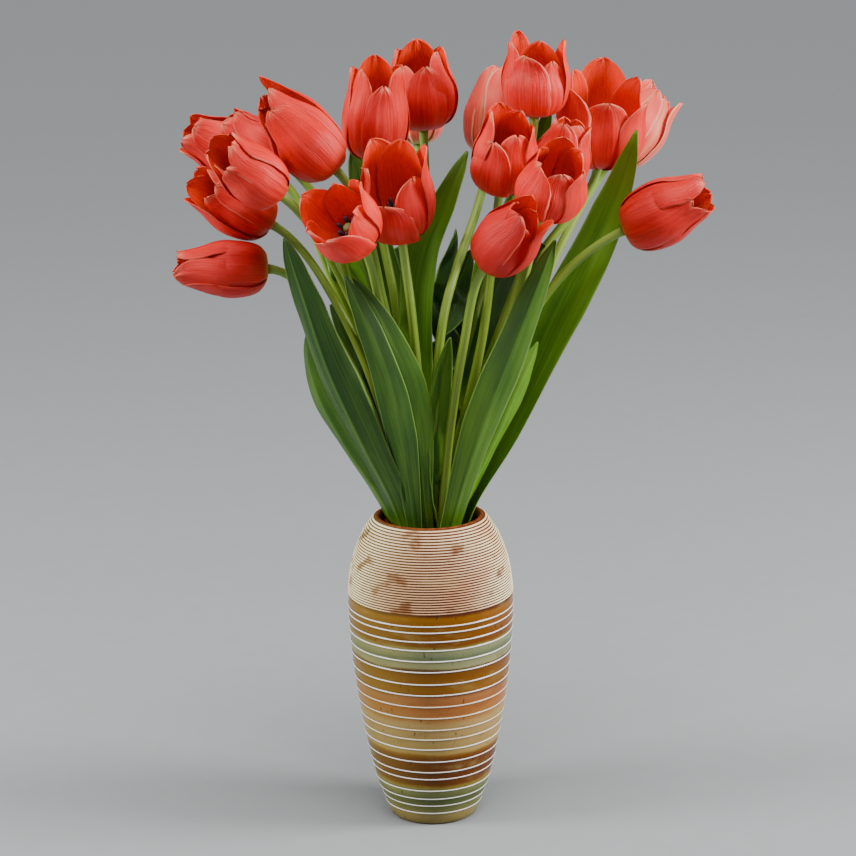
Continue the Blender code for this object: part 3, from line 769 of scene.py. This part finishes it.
def finer(points, rows, columns):
    """A surface grid resampled to more rows and columns along smooth curves."""
    def along_axis(grid, count):
        new = np.linspace(0, len(grid) - 1, count)
        left = np.clip(new.astype(int), 0, len(grid) - 2)
        slope = np.gradient(grid, axis=0)
        share = (new - left)[:, None, None]
        return cubic(share, grid[left], grid[left + 1], slope[left], slope[left + 1])
    tall = along_axis(points, rows)
    return along_axis(tall.transpose(1, 0, 2), columns).transpose(1, 0, 2)


def build_leaf(number, points, back, tone_and_light, paint):
    """The eased surface made finer, creased along its midrib, pleated by its veins and
    waved along its rims, closed as a thin sheet."""
    grid = finer(points, LEAF_ROWS, LEAF_COLUMNS)
    outwards = finer(np.repeat(back[:, None], 3, axis=1), LEAF_ROWS, LEAF_COLUMNS)
    u = np.linspace(-1, 1, LEAF_COLUMNS)[None, :]
    v = np.linspace(0, 1, LEAF_ROWS)[:, None]
    phase = np.random.default_rng(400 + number).uniform(0, math.tau, 4)
    body = np.sin(math.pi * np.clip(v * 1.02, 0, 1)) ** 0.6
    crease = MIDRIB_DEPTH * np.exp(-(u / MIDRIB_SPREAD) ** 2) * body
    fold = LEAF_FOLD * (0.45 - np.abs(u)) * body * np.interp(v, (0.16, 0.45), (0, 1))
    veins = VEIN_DEPTH * np.cos(9 * math.pi * u + phase[0]) * body
    wave = LEAF_WAVE * np.abs(u) ** 3 * np.sin(math.tau * 2.2 * v + phase[1] + 0.9 * np.sign(u))
    wave = wave * np.clip((v - 0.3) / 0.4, 0, 1)
    grid = grid + outwards * (crease + fold + veins + wave)[..., None]
    joined, faces, _, source = sheet(grid, np.full(grid.shape[:2], LEAF_SKIN))
    marks = np.column_stack([*over_grid(u, v, grid, source), np.full(len(source), tone_and_light)])
    put(f"leaf_{number:02d}_blade", joined, faces, f"leaf_{number:02d}", paint,
        {"place": marks})


# ---------------------------------------------------------------- flowers

# A petal's width by how far up it is, and its side up to its widest part by radius and
# height, all as shares of the flower's own. How its side goes on to the mouth depends on how
# open the flower is.
PETAL_OUTLINE = ((0, 0.24), (0.10, 0.52), (0.25, 0.84), (0.42, 1.0), (0.60, 0.99), (0.75, 0.87),
                 (0.86, 0.69), (0.93, 0.51), (0.975, 0.30), (1.0, 0.07))
PETAL_SIDE = ((0.12, 0.0), (0.48, 0.025), (0.82, 0.12), (0.985, 0.30), (0.985, 0.52))
PETALS = 6
PETAL_ROWS, PETAL_COLUMNS = 44, 27
PETAL_STEPS = 120
PETAL_WIDTH = 0.92
# Thickness at the middle of the foot, and how much thinner the tip and the rims are.
PETAL_FOOT_SKIN = 0.60
PETAL_TIP_THINNER = 0.28
PETAL_RIM_THINNER = 0.12
# The three inner petals against the outer ones: radius, mouth and lean.
INNER_RADIUS = 0.945
INNER_MOUTH = 0.88
INNER_LEAN = 0.3
# The pistil and the stamens: where they start, and lengths and lean as shares of the flower's.
HEART_FOOT = 1.5
PISTIL_LENGTH = 0.34
STAMEN_LENGTH = 0.38
STAMEN_LEAN = 0.16

# Per tulip: how far round its first petal is turned, how far its petals lean out, both in
# degrees, how their tips roll outwards in millimetres, then six petals' lengths and their
# widths, as shares of the flower's own.
EVEN = (1.0, 1.0, 1.0, 1.0, 1.0, 1.0)
HABIT = {
    1: (-45, 0, 0.0, (0.84, 0.97, 0.95, 1.0, 0.90, 1.0), EVEN),
    2: (-50, 2, 0.5, (0.84, 0.95, 1.0, 1.02, 1.0, 0.84), (0.80, 1.0, 1.0, 1.0, 1.0, 0.9)),
    3: (-100, 1, 0.5, (0.84, 0.96, 0.96, 1.03, 0.98, 0.90), (1.0, 0.9, 1.0, 1.0, 1.0, 0.8)),
    4: (-60, 2, 0.5, (0.95, 0.9, 1.0, 1.0, 0.97, 1.0), (0.9, 0.9, 1.0, 1.0, 0.9, 0.8)),
    5: (-30, 1, 0.0, (0.95, 1.0, 1.0, 0.95, 0.9, 1.0), EVEN),
    6: (-85, 1, 0.0, (0.83, 0.94, 1.06, 0.90, 0.84, 0.74), (0.86, 0.9, 0.62, 0.9, 0.95, 0.8)),
    7: (-80, 1, 0.5, (0.84, 0.99, 0.95, 1.03, 0.92, 0.97), (0.66, 0.66, 0.8, 0.9, 0.9, 0.70)),
    8: (-84, 2, 0.5, (0.80, 0.92, 0.94, 1.03, 0.95, 0.80), (0.70, 0.72, 0.8, 0.9, 0.9, 0.8)),
    9: (0, 0, 0.0, EVEN, EVEN),
    10: (10, 3, 0.5, (1.05, 0.80, 0.98, 0.86, 0.96, 0.92), (0.85, 0.7, 0.9, 0.8, 1.0, 0.75)),
    11: (-112, 1, 0.5, (0.56, 0.78, 1.0, 0.97, 1.02, 0.86), (1.0, 0.72, 0.85, 0.9, 1.0, 0.5)),
    12: (-60, 0, 0.0, (1.0, 0.96, 1.0, 1.0, 0.97, 1.0), EVEN),
    13: (-110, 3, 1.0, (0.84, 0.76, 0.98, 0.90, 1.04, 0.96), (0.9, 0.7, 0.75, 0.9, 0.75, 0.7)),
    14: (-122, 2, 0.5, (0.78, 0.87, 0.92, 0.97, 1.0, 1.02), (0.95, 0.8, 0.9, 0.9, 1.0, 0.9)),
    15: (-140, 2, 0.0, (0.87, 0.82, 0.88, 0.96, 1.02, 0.92), (0.85, 0.8, 0.85, 0.9, 1.0, 0.9)),
    16: (0, 1, 0.5, EVEN, EVEN),
    17: (-150, 6, 1.0, (1.0, 0.84, 0.80, 0.88, 1.0, 0.94), (0.95, 0.8, 0.9, 0.8, 0.9, 0.8)),
    18: (0, 3, 1.5, (1.0, 0.94, 1.0, 0.96, 0.94, 0.9), (0.9, 0.8, 0.9, 0.8, 0.9, 0.8)),
    19: (-130, 1, 0.0, (0.96, 0.80, 1.02, 0.92, 1.0, 0.95), (0.95, 0.8, 0.85, 0.9, 0.9, 0.8)),
    20: (-108, 1, -0.5, (0.86, 0.96, 0.98, 1.0, 1.0, 1.02), (1.05, 0.9, 1.0, 0.9, 0.9, 0.9)),
}
# Tulips with pale petals.
PALE = (9, 12, 18)
# Tulips painted a darker red than the rest as painted shade, and how much darker.
SHADED_TULIPS = {1: 0.6, 2: 0.15, 6: 0.35, 11: 0.3, 19: 0.8, 20: 0.45}


def flower_frame(points_to):
    """The three directions of a flower that points a given way: one square to it and to a
    line close to +Y, one square to both, and its own axis."""
    up = unit(points_to)
    right = unit(np.cross((0.0, 1.0, 0.15), up))
    return np.stack([right, np.cross(up, right), up])


def petal_grid(tulip, number, k):
    """One petal. Along it v runs from foot to tip on a smooth outline of radius and height;
    across it u bends round a circle about the flower's axis. The rib, the pleats, the waved
    rims and the rolled tip are added along the radius; the ragged tip is added along the
    flower's axis; then the petal leans about its foot."""
    length, radius, opening = tulip[4:]
    turn, leaning, roll, lengths, widths = HABIT[number]
    inner = k % 2
    draw = np.random.default_rng(1000 + 10 * number + k)
    vary, phase = draw.uniform(-1, 1, 9), draw.uniform(0, math.tau, 4)
    v = 1 - (1 - np.linspace(0, 1, PETAL_ROWS)) ** 1.3
    u = np.linspace(-1, 1, PETAL_COLUMNS)[None, :]
    mouth = opening * (INNER_MOUTH if inner else 1.0) + 0.05 * vary[0]
    wide = INNER_RADIUS if inner else 1.0
    side = (*PETAL_SIDE, ((0.84 + mouth) / 2 + 0.02, 0.76), (mouth, 0.97))
    outline = chain([(r * radius * wide, h * length * lengths[k]) for r, h in side], PETAL_STEPS)
    step = np.linspace(0, 1, PETAL_STEPS)
    middle = np.interp(v, step, outline[:, 0])[:, None]
    height = np.interp(v, step, outline[:, 1])[:, None]
    v = v[:, None]
    half = np.interp(v, *zip(*PETAL_OUTLINE)) * (1 + 0.05 * vary[2])
    half = half * radius * PETAL_WIDTH * widths[k]
    bend = (0.45 * radius + 0.55 * middle) * (0.8 + 0.2 * widths[k])
    angle = u * half / bend
    body = np.sin(math.pi * np.clip(v, 0.02, 0.98))
    free = np.clip((v - 0.35) / 0.4, 0, 1)
    tip = np.clip((v - 0.68) / 0.32, 0, 1) ** 2
    rib = -0.5 * np.exp(-(u / 0.10) ** 2) * body
    pleats = 0.09 * np.cos(7 * math.pi * u + vary[3]) * body
    pleats = pleats + 0.7 * vary[6] * np.sin(2.6 * u + 5 * v) * free
    pleats = pleats + 0.45 * np.sin(9 * u + 11 * v + phase[0]) * tip
    pleats = pleats + 0.20 * np.sin(19 * u + phase[1]) * tip
    wave = np.sin(math.tau * 1.3 * v + 3 * vary[4] + 1.3 * u) * free
    wave = wave * 0.050 * radius * np.abs(u) ** 3
    cupped = -0.045 * radius * np.abs(u) ** 2.2 * free
    rolled = (roll + 1.8 * vary[5]) * tip + 1.2 * vary[8] * tip * u
    outwards = middle - bend + bend * np.cos(angle) + rib + pleats + wave + cupped + rolled
    sideways = bend * np.sin(angle) + 1.6 * vary[1] * tip
    ragged = (np.sin(7 * u + phase[2]) + 0.6 * np.sin(15 * u + phase[3])) * tip**2
    lift = height - 0.7 * tip * (1 - np.abs(u)) ** 2 + 0.010 * length * ragged
    lean = math.radians(leaning * (INNER_LEAN if inner else 1.0) + 1.8 * vary[7])
    foot = middle[0]
    tilted = foot + (outwards - foot) * math.cos(lean) + lift * math.sin(lean)
    lifted = lift * math.cos(lean) - (outwards - foot) * math.sin(lean)
    about = math.radians(turn + 360 / PETALS * k + 4 * vary[0])
    grid = np.stack([tilted * math.cos(about) - sideways * math.sin(about),
                     tilted * math.sin(about) + sideways * math.cos(about), lifted], axis=2)
    return grid, u, v


def build_flower(number, tulip, coral, pale, heart):
    """Three outer and three inner petals round a pistil and six stamens."""
    neck, points_to, length, radius = tulip[2:6]
    ways = flower_frame(points_to)
    base = np.array(neck, float) + ways[2] * CLEARANCE
    node = f"flower_{number:02d}"
    paint = pale if number in PALE else coral
    for k in range(PETALS):
        grid, u, v = petal_grid(tulip, number, k)
        thickness = PETAL_FOOT_SKIN - PETAL_TIP_THINNER * v - PETAL_RIM_THINNER * np.abs(u)
        joined, faces, behind, source = sheet(grid @ ways + base, thickness)
        marks = np.column_stack([*over_grid(u, v, grid, source),
                                 np.full(len(source), number * 0.61 + k * 0.17)])
        # The last mark darkens the whole flower to a deeper red, as painted shade.
        put(f"petal_{number:02d}_{k + 1}", joined, faces, node, paint,
            {"place": marks, "inside": behind,
             "depth": np.full(len(source), SHADED_TULIPS.get(number, 0.0))})
    build_heart(number, length, radius, ways, base, node, heart)


def build_heart(number, length, radius, ways, base, node, paint):
    """A pistil with a broad end in the middle and six anthers on threads that lean outwards."""
    parts = []
    t = np.linspace(0, 1, 12)
    stalk = np.column_stack([0 * t, 0 * t, HEART_FOOT + t * PISTIL_LENGTH * length])
    thick = np.interp(t, (0, 0.1, 0.8, 0.9, 1), (1.5, 3.0, 2.7, 4.0, 2.2))
    parts.append((*tube(stalk, thick, 9), 1.0))
    for k in range(PETALS):
        about = math.tau * k / PETALS + 0.3
        way = np.array([math.cos(about), math.sin(about)])
        reach = 3.2 + t * STAMEN_LEAN * radius
        line = np.column_stack([reach[:, None] * way, HEART_FOOT + t * STAMEN_LENGTH * length])
        thick = np.interp(t, (0, 0.5, 0.58, 0.78, 0.95, 1), (0.8, 0.7, 1.7, 2.0, 1.5, 0.6))
        parts.append((*tube(line, thick, 8), 0.0))
    points, faces, marks, begun = [], [], [], 0
    for place, corner, u, v, kind in parts:
        points.append(place @ ways + base)
        faces += [[begun + c for c in face] for face in corner]
        marks.append(np.column_stack([u, v, np.full(len(u), kind)]))
        begun += len(place)
    put(f"stamens_{number:02d}", np.vstack(points), faces, node, paint,
        {"place": np.vstack(marks)})


# ---------------------------------------------------------------- stage

# Places and sizes of the stage are in metres, tilts in degrees and the lens in millimetres.
FLOOR_REACH = 200.0
CAMERA_PLACE = (0, -2.0, 0.83)
CAMERA_TILT = 14.3
CAMERA_ROLL = -0.9
LENS, FILM = 110.4, 36.0
# Per lamp: name, place, size and power. Both are aimed at one point on the vase's axis.
LAMPS = (("left", (-2.0, -0.5, 1.3), 0.9, 66), ("right", (2.0, -0.3, 1.2), 0.9, 88))
LAMP_AIM = (0, 0, 0.34)
SUN_POWER, SUN_SOFTNESS, SUN_TILT = 3.3, 35, (16, 4)
SKY_COLOUR, SKY_POWER = (0.62, 0.64, 0.67, 1), 0.36


def build_stage():
    """A wide pale floor, a soft lamp at each side, a broad sun overhead and a long lens at
    the front."""
    mesh = bpy.data.meshes.new("studio_floor")
    corners = [(x * FLOOR_REACH, y * FLOOR_REACH, 0)
               for x, y in ((-1, -1), (1, -1), (1, 1), (-1, 1))]
    mesh.from_pydata(corners, [], [(0, 1, 2, 3)])
    mesh.materials.append(floor_paint())
    linked("studio_floor", mesh)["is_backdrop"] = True
    world = bpy.data.worlds.new("studio")
    world.use_nodes = True
    world.node_tree.nodes["Background"].inputs["Color"].default_value = SKY_COLOUR
    world.node_tree.nodes["Background"].inputs["Strength"].default_value = SKY_POWER
    bpy.context.scene.world = world
    for name, spot, size, power in LAMPS:
        light = bpy.data.lights.new(name, "AREA")
        light.shape, light.size, light.energy = "DISK", size, power
        lamp = linked(name, light)
        lamp.location = spot
        way = Vector(LAMP_AIM) - Vector(spot)
        lamp.rotation_euler = way.to_track_quat("-Z", "Y").to_euler()
    sun = bpy.data.lights.new("overhead", "SUN")
    sun.energy, sun.angle = SUN_POWER, math.radians(SUN_SOFTNESS)
    linked("overhead", sun).rotation_euler = (*map(math.radians, SUN_TILT), 0)
    lens = bpy.data.cameras.new("camera")
    lens.lens, lens.sensor_width = LENS, FILM
    camera = linked("camera", lens)
    camera.matrix_world = (Matrix.Translation(CAMERA_PLACE)
                           @ Matrix.Rotation(math.radians(90 - CAMERA_TILT), 4, "X")
                           @ Matrix.Rotation(math.radians(CAMERA_ROLL), 4, "Z"))
    bpy.context.scene.camera = camera


build_vase()
stems = spread([stem_path(tulip) for tulip in TULIPS])
stem_green, leaf_green = stem_paint(), leaf_paint()
coral, pale, heart = petal_paint(), pale_paint(), heart_paint()
for index, tulip in enumerate(TULIPS):
    build_stem(index + 1, stems[index], stem_green)
    build_flower(index + 1, tulip, coral, pale, heart)

room_by_stem = STEM_FOOT_RADIUS + LEAF_THICKNESS / 2 + 2 * CLEARANCE
room_by_leaf = LEAF_THICKNESS + 2 * CLEARANCE
taken = np.vstack([evenly(path, STEM_LOOKED_AT) for path in stems])
taken = np.column_stack([taken, np.full(len(taken), room_by_stem)])
for index, leaf in enumerate(LEAVES):
    fullness, tone_and_light, foot = LEAF_LOOKS[index]
    surface, back = leaf_surface(leaf, stems, leaf[4] * fullness, foot)
    surface = ease(surface, back, taken)
    build_leaf(index + 1, surface, back, tone_and_light, leaf_green)
    flat = surface.reshape(-1, 3)
    taken = np.vstack([taken, np.column_stack([flat, np.full(len(flat), room_by_leaf)])])

build_stage()
boxes = {"cad": CAD_BOX, "visual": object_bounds()}
boxes = {name: [[float(n) for n in corner] for corner in box] for name, box in boxes.items()}
